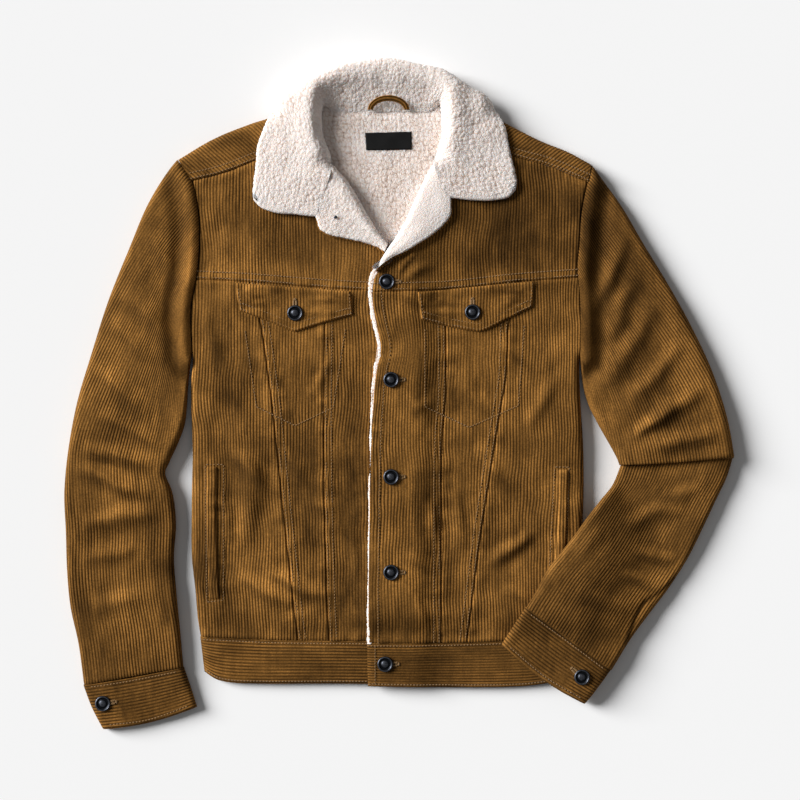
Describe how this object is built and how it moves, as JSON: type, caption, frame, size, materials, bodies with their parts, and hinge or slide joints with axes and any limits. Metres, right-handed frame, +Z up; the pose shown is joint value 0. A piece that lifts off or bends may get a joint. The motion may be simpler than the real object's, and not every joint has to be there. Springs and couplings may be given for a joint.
{
  "type": "sherpa lined jacket",
  "caption": "Corduroy trucker jacket with sherpa lining, collar and lapels, buttoned up and laid flat on its back, one forearm folded over the hem.",
  "frame": {"origin": "centre of the jacket's outline, on the surface that it lies on", "axes": "+Z up from the surface, +Y towards the collar, +X to the right as one looks down on the front (the wearer's left)"},
  "size_m": [0.777, 0.7776, 0.0345],
  "materials": {
    "corduroy": "brown wide-wale cotton corduroy",
    "sherpa": "cream sherpa pile",
    "gunmetal": "dark gunmetal plating",
    "label": "black damask weave, plain"
  },
  "bodies": {
    "root": {"back_body": "corduroy", "back_yoke": "corduroy", "shoulder_left": "corduroy", "shoulder_right": "corduroy", "hem_back": "corduroy", "front_yoke_left": "corduroy", "front_yoke_right": "corduroy", "front_side_left": "corduroy", "front_middle_left": "corduroy", "front_center_left": "corduroy", "front_center_right": "corduroy", "front_middle_right": "corduroy", "front_side_right": "corduroy", "hem_left": "corduroy", "hem_right": "corduroy", "flap_left": "corduroy", "flap_right": "corduroy", "welt_left": "corduroy", "welt_right": "corduroy", "sleeve_left": "corduroy", "sleeve_right_upper": "corduroy", "sleeve_right_lower": "corduroy", "cuff_left": "corduroy", "cuff_right": "corduroy", "lapel_shell_left": "corduroy", "lapel_shell_right": "corduroy", "hanger_loop": "corduroy", "back_lining": "sherpa", "lining_left": "sherpa", "lining_right": "sherpa", "collar": "sherpa", "lapel_left": "sherpa", "lapel_right": "sherpa", "button_front_1": "gunmetal", "button_front_2": "gunmetal", "button_front_3": "gunmetal", "button_front_4": "gunmetal", "button_hem": "gunmetal", "button_flap_left": "gunmetal", "button_flap_right": "gunmetal", "button_cuff_left": "gunmetal", "button_cuff_right": "gunmetal", "lapel_tack": "gunmetal", "label": "label"}
  },
  "joints": []
}
